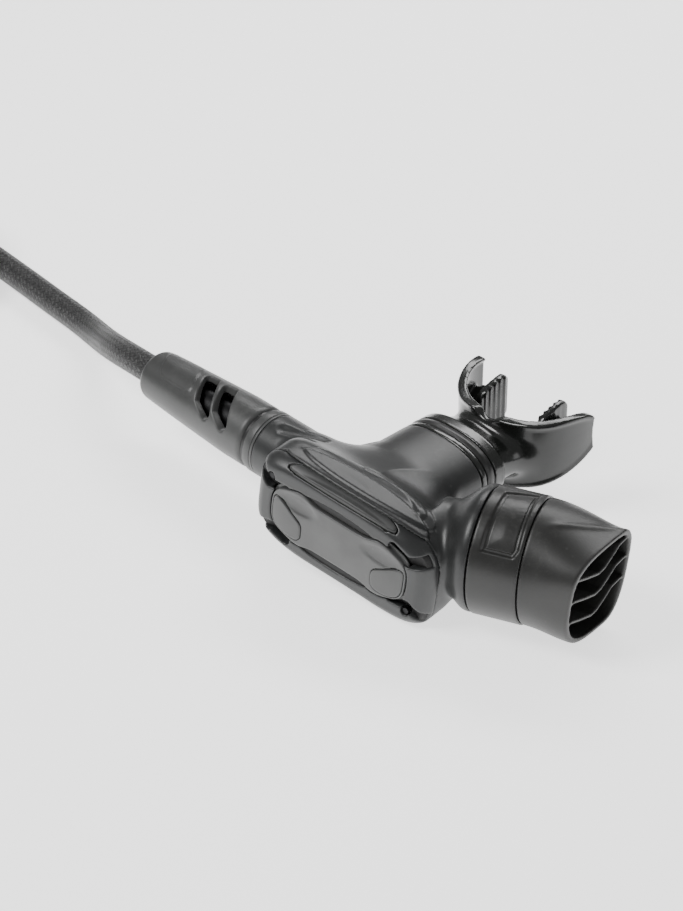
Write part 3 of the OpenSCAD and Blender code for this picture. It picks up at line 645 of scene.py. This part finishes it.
def smoothed(knots, spacing):
    """Points a fixed distance apart on a smooth curve through the knots."""
    before = np.vstack([2 * knots[0] - knots[1], knots[:-1]])
    after = np.vstack([knots[1:], 2 * knots[-1] - knots[-2]])
    slopes = (after - before) / 2
    out = []
    for a, b, m, n in zip(knots[:-1], knots[1:], slopes[:-1], slopes[1:]):
        steps = max(2, int(np.linalg.norm(b - a) / spacing))
        for t in np.arange(steps) / steps:
            out.append((2 * t ** 3 - 3 * t ** 2 + 1) * a + (t ** 3 - 2 * t ** 2 + t) * m
                       + (3 * t ** 2 - 2 * t ** 3) * b + (t ** 3 - t ** 2) * n)
    return np.array(out + [knots[-1]])


def make_hose():
    """The braided hose as one tube."""
    path = hose_path()
    hose, points = tube("braided_hose", path, HOSE_R, BRAID, "hose",
                        ["hose_run", "hose_coil", "hose_tail"])


# ---------------------------------------------------------------------------
# Housing
# ---------------------------------------------------------------------------
TRIM_L, TRIM_MIDDLE, TRIM_W = 25.0, 4.4, 3.0


def lens(along, d, centre, half_l, middle, half_w):
    """Distance to a long lens in the top surface's own plan."""
    t = (along - centre) / half_l
    width = half_w * np.sqrt(np.clip(1 - t * t, 0.0, 1))
    bow = 1.6 * t * t
    return np.maximum(np.abs(d - middle + bow) - width, (np.abs(t) - 1) * half_l * 0.3)


CRESCENT = [(-5, 21.5), (4, 23.2), (13, 22), (20, 18.5), (25, 14.5)]


def polyline_2d(u, v, points):
    """Distance to a line through points."""
    best = 1e3
    for (ax, ay), (bx, by) in zip(points[:-1], points[1:]):
        ex, ey = bx - ax, by - ay
        t = np.clip(((u - ax) * ex + (v - ay) * ey) / (ex * ex + ey * ey), 0, 1)
        best = np.minimum(best, length(u - ax - t * ex, v - ay - t * ey))
    return best


def housing_form(x, y, z):
    """Front pod, hose neck, mouth neck and exhaust neck grown together, ribbed on top, then hollowed."""
    along, d, h = to_face(x, y, z)
    q, p, _ = to_exhaust(x, y, z)
    top = ease(4, 12, h)
    ridge = 1.1 * top * (1 - ease(-0.3, 0.7, lens(along, d, 0, 33, 10.0, 5.4)))
    ridge = ridge + 0.8 * top * (1 - ease(-0.3, 0.8, lens(along, d, 2, 30, 14.5, 7.4)))
    ridge = ridge + 0.9 * top * (1 - ease(-0.6, 1.2, polyline_2d(along, d, CRESCENT) - 1.4))
    pod = superellipse_pod(along, d, h) - ridge
    pod = keep(pod, slab(d, 0, POD_D), 3)
    neck = keep(length(y, z) - NECK_R, slab(x, NECK_END - 9, 2))
    mouth = keep(oval(x, z, MOUTH_W, MOUTH_H, 2.3), slab(y, -4, MOUTH_Y + 5))
    exhaust = keep(length(p, z) - (EXH_R - 0.2) + 8.5 * (1 - ease(-15, -1.5, q)), slab(q, -19, 4), 1)
    body = join(pod, neck, 7)
    body = join(body, mouth, 10)
    body = join(body, exhaust, 6)
    foot = np.maximum(rounded_box(x - 9, y - 1, 17, 11, 5), slab(z, -AXIS_H, -15))
    body = join(body, foot, 2)
    # channel and wedge on the hose neck
    body = cut(body, capsule(x, y, z, (-44, -3, 15.2), (-27, 3, 16.6), 3.4), 1.2)
    body = cut(body, capsule(x, y, z, (-41, -9, 13.4), (-24, -4, 20.5), 2.8), 1.0)
    cover_room = np.maximum(superellipse_pod(along, np.minimum(d, 7), h) - 0.25, d - COVER_D - 0.05)
    body = np.maximum(body, -cover_room)
    body = np.maximum(body, NECK_END - x)
    body = keep(body, y - MOUTH_Y, 0.6)
    body = keep(body, q + 0.3, 0.5)
    body = np.maximum(body, -AXIS_H - z)
    spigot = np.maximum(oval(x, z, SPIGOT_W - 0.1, SPIGOT_H - 0.1, 2.3), slab(y, MOUTH_Y - 2, SPIGOT_Y))
    body = np.minimum(body, spigot)
    return hollowed(body, x, y, z, along, d, h, q, p)


def hollowed(body, x, y, z, along, d, h, q, p):
    """The housing without its chamber, airway, exhaust bore, valve bore and diaphragm seat."""
    cavity = np.maximum(superellipse_pod(along, d, h, WALL), slab(d, 12.5, POD_D - WALL))
    airway = np.maximum(oval(x, z, SPIGOT_W - WALL, SPIGOT_H - WALL, 2.3), slab(y, 0, SPIGOT_Y + 2))
    outlet = np.maximum(length(p, z) - (COLLAR_BORE - 0.2) + 10.5 * (1 - ease(-15, -1.5, q)), slab(q, -20, 4))
    bore = np.maximum(length(y, z) - BARREL_R - 0.1, x + 8)
    seat = np.maximum(stadium(along, h, *DIAPHRAGM) - 0.1, d - 10.5)
    throat = np.maximum(stadium(along, h, DIAPHRAGM[0] - 2.5, DIAPHRAGM[1] - 2.5), d - 14)
    for hole in (cavity, airway, outlet, bore, seat, throat):
        body = np.maximum(body, -hole)
    return body


def make_housing():
    """The one moulded housing."""
    skin("housing_body", housing_form, (-53, -33, -AXIS_H - 1), (66, 49, 26), 0.45, HOUSING,
         "housing", ["body_shell"])


def make_web():
    """Thin web between the hose neck and the mouth neck."""
    def form(x, y, z):
        return keep(polygon_2d(x, y, [(-34, 8), (-8, 8), (-20, 34), (-23, 34)]), slab(z, -2.2, 2.2), 1.0)
    skin("neck_web", form, (-36, 6, -4), (-6, 36, 4), 0.5, HOUSING, "housing", ["rear_web"])


# ---------------------------------------------------------------------------
# Front cover, purge button and screws, in the pod's own frame
# ---------------------------------------------------------------------------
def button_plan(a, h, grow=0.0):
    """Hourglass outline of the button: a narrow waist, two shoulders and round ends."""
    shoulder = 2.7 * np.exp(-((np.abs(a) - 19.5) / 5.5) ** 2)
    sides = (np.abs(h) - (BUTTON_H - 0.1 + shoulder)) * 0.94
    return keep(sides, oval(a, h, BUTTON_L, 13.4, 3.2), 2.0) - grow


def wing_plan(a, h):
    """Lobe at each end of the button."""
    aa = np.abs(a)
    lobe = keep(rounded_box(aa - 24.4, h + 2.2, 7.8, 7.8, 3.4), (h - 0.62 * (aa - 18) + 0.6) * 0.85, 2.0)
    return keep(lobe, button_plan(a, h) + 0.9, 1.0)


def corner_channel(a, d, h):
    """Deep channels that run from each corner of the cover to the button's shoulder."""
    aa, hh = a * np.sign(h), np.abs(h)
    steep = polyline_2d(aa, hh, [(-45, 18), (-38.5, 12.5), (-33.5, 8.8), (-26, 9.6)]) - 2.0
    flat = polyline_2d(aa, hh, [(45, 13.5), (37, 12.6), (31, 10.6), (24, 13.2)]) - 2.2
    return np.maximum(join(steep, flat, 0.6), d - 5.5)


def wedge_plan(a, h):
    """Long recess above and below the button's waist."""
    return oval(a + 1.5, np.abs(h) - 11.4, 16.5, 2.3, 2.0)


def cover_form(a, d, h):
    """Cover frame with the button's window, recesses, trim pocket and screw wells."""
    front = 0.5 * ease(8, 20, np.abs(h)) + 0.9 * (np.clip(np.abs(a) - 30, 0, 12) / 11) ** 2
    body = keep(superellipse_pod(a, d, h), front - d, 1.6)
    rest = AXIS_H + POD_Z - a * math.sin(FACE_ROLL) + h * math.cos(FACE_ROLL)
    body = np.maximum(np.maximum(body, d - COVER_D), 0.05 - rest)
    body = cut(body, np.maximum(button_plan(a, h, 0.45), d - 9), 0.5)
    body = np.maximum(body, -np.maximum(button_plan(a, h, 1.7), 1.5 - d))
    body = cut(body, corner_channel(a, d, h), 0.7)
    body = cut(body, np.maximum(wedge_plan(a, h), d - 5), 0.5)
    slit = np.maximum(oval(a, h + 18.6, 17, 0.7, 2.0), d - 4)
    body = cut(body, slit, 0.3)
    lens_gap = lens(a, d, -2.0, TRIM_L + 0.5, TRIM_MIDDLE, TRIM_W + 0.3)
    pocket = np.maximum(np.maximum(lens_gap, 12 - h), -(superellipse_pod(a, d, h) + 1.2))
    body = np.maximum(body, -pocket)
    screw = np.minimum(length(a - POD_L + 8, h + POD_H - 9), length(a + POD_L - 8, h - POD_H + 9))
    body = np.maximum(body, -np.maximum(screw - 1.9, d - 3))
    return np.maximum(body, -(screw - 1.25))


def recess_shade_form(a, d, h):
    """Black sheet of painted shade at the bottom of the recesses, outside the button's outline but not its
    flange.
    """
    wedge = np.maximum(wedge_plan(a, h) - 0.4, slab(d, 0.9, 4.5))
    channels = np.maximum(corner_channel(a, d, h) - 0.3, slab(d, 3.2, 5.6))
    body = np.minimum(wedge, channels)
    return np.maximum(np.maximum(body, 0.35 - button_plan(a, h)), superellipse_pod(a, d, h) + 0.7)


def button_form(a, d, h):
    """Domed button with a hidden flange, a hollow plunger and seats for its end lobes."""
    dome = -0.6 + 0.35 * (h / 12) ** 2 + 0.5 * (a / 30) ** 2
    body = keep(button_plan(a, h), slab(d, dome, 2.9), 0.5)
    flange = np.maximum(button_plan(a, h, 1.1), slab(d, 2.05, 2.9))
    flange = np.maximum(flange, np.minimum(-wedge_plan(a, h), -button_plan(a, h)) + 0.5)
    plunger = np.maximum(length(a, h) - 3, slab(d, 2.5, 9))
    body = np.minimum(np.minimum(body, flange), plunger)
    body = np.maximum(body, -np.maximum(length(a, h) - 1.9, slab(d, 3.4, 12)))
    scoop = length((np.abs(a) - 20.0) / 9.5, (h - 6.5) / 4.0, (d + 0.6) / 1.3) - 1
    body = cut(body, scoop * 2.2, 0.5)
    return np.maximum(body, -np.maximum(wing_plan(a, h) - 0.16, d - 1.1))


def wing_form(a, d, h):
    """The two end lobes, a little prouder than the button."""
    face = -0.85 + 0.75 * (np.abs(a) / 31.5) ** 6 + 0.25 * (h / 8) ** 2
    return keep(wing_plan(a, h), slab(d, face, 1.0), 0.45)


def make_front():
    """Cover frame, black painted-shade sheet in its recesses, purge button and the button's lobes."""
    skin("front_cover_frame", cover_form, (-42, -1, -22), (42, 8.5, 22), 0.42, COVER, "housing",
         ["front_cover"], place=from_face)
    # Near-black sheet of painted shade in the wedge and corner channels, so these recesses read dark.
    skin("recess_painted_shade", recess_shade_form, (-42, 0.5, -20), (42, 6, 20), 0.42, INNER, "housing",
         place=from_face)
    skin("purge_button_face", button_form, (-34, -2, -15), (34, 10, 15), 0.36, BUTTON, "purge",
         ["purge_button"], place=from_face)
    skin("button_wings", wing_form, (-33, -2, -10), (33, 2, 10), 0.3, BUTTON_WING, "purge",
         ["button_caps"], place=from_face)


def make_trim():
    """Lens of soft rubber let into the top edge of the cover, with a lip at its front."""
    def form(a, d, h):
        plan = lens(a, d, -2.0, TRIM_L, TRIM_MIDDLE, TRIM_W)
        lip = 0.45 * (1 - ease(0, 1.6, d - TRIM_MIDDLE + TRIM_W * 0.9 + 1.6 * (a / TRIM_L) ** 2))
        shape = keep(np.maximum(plan, 12 - h), superellipse_pod(a, d, h) - 0.35 - lip, 0.5)
        return np.maximum(shape, -(superellipse_pod(a, d, h) + 1.1))
    skin("top_trim_lens", form, (-34, -1, 11), (34, 12, 24), 0.3, TRIM, "housing", ["top_trim"],
         place=from_face)


# ---------------------------------------------------------------------------
# Swivel and hose protector, round the hose axis
# ---------------------------------------------------------------------------
def make_swivel():
    """Collar and seam ring between the housing and the hose protector."""
    low, high = cad_box("swivel_collar")
    lathe("swivel_collar_ring", ring_outline(low[0], high[0], NECK_R, BARREL_R + 0.5, 0.35, 0.35), SLEEVE,
          "housing", ["swivel_collar"])
    low, high = cad_box("neck_ring")
    lathe("neck_seam_ring", ring_outline(low[0], high[0], NECK_R, BARREL_R + 1.7, 0.3, 0.3), SLEEVE,
          "housing", ["neck_ring"])


def slot_plan(x, arc):
    """Slanted leaf shaped slot on the unrolled protector, arc measured from the top to the front."""
    outline = [(-90.4, -1.4), (-87.2, -1.6), (-82.8, 5.4), (-79.2, 12.2), (-79.6, 13.2), (-85.6, 8.8)]
    return polygon_2d(x, arc, outline) - 1.9


def protector_form(x, y, z):
    """Tapered sleeve with two slots on the top and two below, and a plain raised panel."""
    start, stop = PROTECTOR
    r = length(y, z)
    along = (x - start) / (stop - start)
    outer = 10.0 + (PROTECTOR_R - 10.0) * np.clip(along * 1.25, 0, 1) ** 0.8
    body = keep(r - outer, slab(x, start, stop), 2.6)
    body = np.maximum(body, slab(x, start + 0.02, stop - 0.02))
    angle = np.arctan2(-y, z)
    arc = angle * 11.7
    for turn in (0.0, math.pi):
        swung = (angle - turn + math.pi) % (2 * math.pi) - math.pi
        for shift in (0.0, 10.2):
            plan = slot_plan(x - shift, swung * 11.7)
            body = cut(body, np.maximum(plan + 0.28 * (outer - r), 6.5 - r), 0.5)
    panel = rounded_box(x + 104.5 - 0.45 * arc, arc - 1.0, 9.5, 8.0, 3.0)
    body = body - 0.25 * (1 - ease(-0.3, 0.5, panel)) * (r > 8)
    bore = HOSE_R + 0.15 + (PROTECTOR_R - 3.5 - HOSE_R) * ease(-98.6, -97.6, x)
    return np.maximum(body, bore - r)


def make_protector():
    """Sleeve over the hose end and its swivel nut."""
    start, stop = PROTECTOR
    skin("hose_protector_sleeve", protector_form, (start - 1, -14, -14), (stop + 1, 14, 14), 0.36, SLEEVE,
         "hose", ["hose_protector"])


# ---------------------------------------------------------------------------
# Exhaust collar, badge and outlet, in the exhaust's own frame
# ---------------------------------------------------------------------------
BADGE = [(4.6, -22.6), (5.0, 4.4), (8.6, 6.2), (16.2, 9.0), (17.2, -20.0), (16.0, -22.6)]


def collar_form(q, p, z):
    """Exhaust collar with the badge's shallow recess."""
    r = length(p, z)
    arc = np.arctan2(p, z) * EXH_R
    body = keep(np.maximum(r - EXH_R, COLLAR_BORE - r), slab(q, 0.25, COLLAR_L - 0.15), 0.5)
    plan = polygon_2d(q, arc, BADGE) - 0.6
    depth = 0.95 * (1 - ease(-0.9, 0.25, plan))
    return np.maximum(body, r - EXH_R + depth)


def badge_form(q, p, z):
    """Bowed panel that fills the recess but for a narrow groove."""
    r = length(p, z)
    arc = np.arctan2(p, z) * EXH_R
    plan = polygon_2d(q, arc, BADGE) + 1.0
    bow = 0.25 * ease(0, 6, -plan)
    return keep(np.maximum(plan, (EXH_R - 1.0) - r), r - EXH_R + 0.55 - bow, 0.3)


def outlet_gauge(q, p, z, inset=0.0):
    """Section that goes from round at the seam to a rounded slab at the slanted rim."""
    e = ease(0, 1, q / (OUTLET_L + 0.3 * p + 0.1 * z))
    round_r = EXH_R - 0.4 - inset
    half_p = round_r * (1 - e) + e * (np.where(p > 0, 0.5, 1.0) * EXH_R - inset)
    half_z = round_r * (1 - e) + e * (np.where(z > 0, 0.78, 0.96) * EXH_R - inset)
    power_p = 2 / (1 - 0.38 * e)
    power_z = 2 / (1 - np.where(z > 0, 0.45, 0.15) * e)
    u, v = np.abs(p) / half_p + 1e-4, np.abs(z) / half_z + 1e-4
    slope = length(power_p / half_p * u ** (power_p - 1), power_z / half_z * v ** (power_z - 1))
    return np.clip((u ** power_p + v ** power_z - 1) / np.maximum(slope, 0.02), -6, 6)


def wave(p):
    """Height of a vane across the outlet: low in the middle front, rising to the back."""
    t = p * 24.0 / EXH_R
    return np.interp(t, [-26, -20, -14, -7, -3.5, 0, 4, 8, 20], [5.4, 4.8, 2.4, 0, 0.6, 3.2, 6.6, 7.3, 7.0])


def outlet_form(q, p, z):
    """Open duct with a slanted rim, a crease on top and three wavy vanes set back in its mouth."""
    outer = outlet_gauge(q, p, z)
    inner = outlet_gauge(q, p, z, 1.9)
    rim = (q - (OUTLET_L + 0.3 * p + 0.1 * z)) / 1.05
    crease = 0.35 * np.exp(-((p + 10 - 0.55 * q) / 1.6) ** 2) * ease(2, 12, q) * ease(0, 8, z)
    shell = keep(outer - crease, np.maximum(rim, 0.1 - q), 0.8)
    shell = cut(shell, np.maximum(inner, -4 - q), 0.4)
    for k in (-1, 0, 1):
        band = np.abs(z - wave(p) - (k * EXH_R * 0.4 - 3.2)) * 0.82 - 0.55
        blade = keep(band, rim + 0.15, 0.5)
        shell = np.minimum(shell, np.maximum(np.maximum(blade, outer + 0.5), 6 - q))
    return shell


def make_exhaust():
    """Collar, its badge panel and the outlet duct."""
    place = from_exhaust
    skin("exhaust_collar_band", collar_form, (-1, -25, -25), (COLLAR_L + 1, 25, 25), 0.42, COLLAR, "housing",
         ["exhaust_collar"], place=place)
    skin("collar_badge_panel", badge_form, (2, -22, -2), (19, 12, 25), 0.33, INNER_PANEL, "housing",
         ["collar_badge"], place=place)

    def beyond(points):
        return from_exhaust(points + np.array([COLLAR_L, 0, 0]))
    skin("exhaust_outlet_duct", outlet_form, (-1, -26, -25.2), (36, 26, 25.2), 0.42, EXHAUST, "housing",
         ["exhaust_outlet"], place=beyond)


# ---------------------------------------------------------------------------
# Mouthpiece and its tie
# ---------------------------------------------------------------------------
def mouthpiece_form(x, y, z):
    """Collar, neck, lip flange and bite tabs in one soft piece, with an airway through it."""
    end = FLANGE_Y + FLANGE_D
    x = x - FLANGE_SHIFT * ease(MOUTH_Y + 10, FLANGE_Y + 6, y)
    collar = keep(oval(x, z, MOUTH_W, MOUTH_H, 2.3), slab(y, MOUTH_Y + 0.1, MOUTH_Y + 12.5), 1.0)
    groove = np.abs(y - TIE_Y) - 2.2
    collar = cut(collar, np.maximum(groove, -(oval(x, z, MOUTH_W - 1.2, MOUTH_H - 1.2, 2.3))), 0.3)
    draw = 1 - ease(MOUTH_Y + 9, FLANGE_Y, y)
    neck = np.maximum(oval(x, z, MOUTH_W - 3.4 + 1.6 * draw, MOUTH_H - 3.4 + 2.0 * draw, 2.3),
                      slab(y, MOUTH_Y + 10, FLANGE_Y + 4))
    # the flange sweeps up towards the lips, and its exhaust side draws in to a tip
    lift = z - 6.0 * ease(FLANGE_Y, end, y) - 0.1 * np.clip(x, -26, 30) * ease(FLANGE_Y - 2, FLANGE_Y + 4, y)
    bowl = oval(x, y - end, FLANGE_W, FLANGE_D, 2.25)
    reach = np.arctan2(np.abs(x), end - y + 0.01) * 27.5
    tall = oval(reach, lift, np.where(x > 0, 46.0, 60.0), FLANGE_H, 2.6)
    bead = 1.3 * (1 - ease(0, 3.0, -tall))
    wall = np.maximum(np.maximum(bowl - 0.5 * bead, -(bowl + 2.2 + bead)), y - end)
    notch = length(reach * 0.8, np.abs(z) - FLANGE_H - 2.0) - 4.6
    wall = keep(wall, keep(tall, -notch, 2.0), 1.1)
    body = join(join(collar, neck, 1.5), wall, 4.5)
    for side in (-1, 1):
        inner = side * x - FLANGE_W
        tab = keep(rounded_box(lift, y - end + 10.0, 1.6, 8.4, 1.4), np.abs(inner + 9.5) - 5.5, 1.0)
        ribs = 0.4 * np.cos((y - end) * 2.4) * ease(12.8, 14.0, np.abs(inner))
        knob = keep(rounded_box(y - end + 8, lift, 7.6, 10.2, 3.4), np.abs(inner + 14.5) - 1.6 - ribs, 0.9)
        link = keep(rounded_box(y - end + 8, lift, 3.6, 2.0, 1.4), np.abs(inner + 4.5) - 4.0, 0.8)
        bite = join(join(tab, knob, 1.4), link, 1.2)
        body = join(body, np.maximum(bite, bowl + 0.9), 1.2)
    throat = np.maximum(oval(x, z, SPIGOT_W - WALL, SPIGOT_H - WALL, 2.3), slab(y, MOUTH_Y - 1, FLANGE_Y + 8))
    seat = np.maximum(oval(x, z, SPIGOT_W, SPIGOT_H, 2.3), slab(y, MOUTH_Y - 1, SPIGOT_Y + 0.2))
    body = cut(body, throat, 1.2)
    return np.maximum(body, -seat)


def tie_form(x, y, z):
    """Strap that lies in the mouthpiece's groove, with its lock underneath."""
    across = np.abs(y - TIE_Y)
    strap_bore = oval(x, z, MOUTH_W - TIE_GROOVE, MOUTH_H - TIE_GROOVE, 2.3)
    band = keep(oval(x, z, MOUTH_W - 0.05, MOUTH_H - 0.05, 2.3), across - 1.95, 0.5)
    band = np.maximum(band, -strap_bore)
    band = band - 0.2 * (1 - ease(0, 0.3, across - 0.6))
    lock = rounded_box(x + MOUTH_W * 0.5, y - TIE_Y, 3.2, 2.5, 0.6)
    lock = keep(lock, slab(z, -MOUTH_H - 1.7, -MOUTH_H + 2.5), 0.5)
    return join(band, np.maximum(lock, -strap_bore), 0.4)


def make_mouthpiece():
    """Soft mouthpiece and the strap that holds it."""
    skin("silicone_mouthpiece", mouthpiece_form, (-29, MOUTH_Y - 1, -18),
         (36, FLANGE_Y + FLANGE_D + 1.5, 23), 0.45, SILICONE, "housing", ["mouthpiece"])
    skin("mouthpiece_band", tie_form, (-24, MOUTH_Y + 1, -16), (24, MOUTH_Y + 9, 15), 0.36, BLACK, "housing",
         ["mouthpiece_tie"])


view_right, view_back = make_camera()
make_stage(view_right, view_back)
make_hose()
make_housing()
make_web()
make_front()
make_trim()
make_swivel()
make_protector()
make_exhaust()
make_mouthpiece()

# ---------------------------------------------------------------------------
# CAD nodes whose shape is right keep it and take a finish
# ---------------------------------------------------------------------------
KEPT = {
    "cover_screws": DARK_STEEL, "purge_spring": STEEL, "diaphragm": BLACK, "diaphragm_plate": WHITE,
    "diaphragm_ring": INNER, "valve_barrel": BRASS, "barrel_orings": BLACK, "valve_seat": BRASS,
    "poppet": WHITE, "poppet_seal": BLACK, "poppet_spring": STEEL, "spring_stop": BRASS,
    "demand_lever": STEEL, "lever_pin": STEEL, "bypass_tube": HOUSING, "inlet_fitting": CHROME,
    "swivel_nut": DARK_STEEL, "swivel_balls": STEEL, "swivel_washer": BLACK, "hose_ferrule": DARK_STEEL,
    "hose_end": BLACK, "exhaust_seat": INNER, "exhaust_flap": SILICONE, "far_nut": CHROME,
    "thread_oring": BLACK, "far_ferrule": STEEL, "thread_fitting": CHROME,
}
for _node, _finish in KEPT.items():
    _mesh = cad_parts[_node].data
    _mesh.materials.clear()
    _mesh.materials.append(_finish)
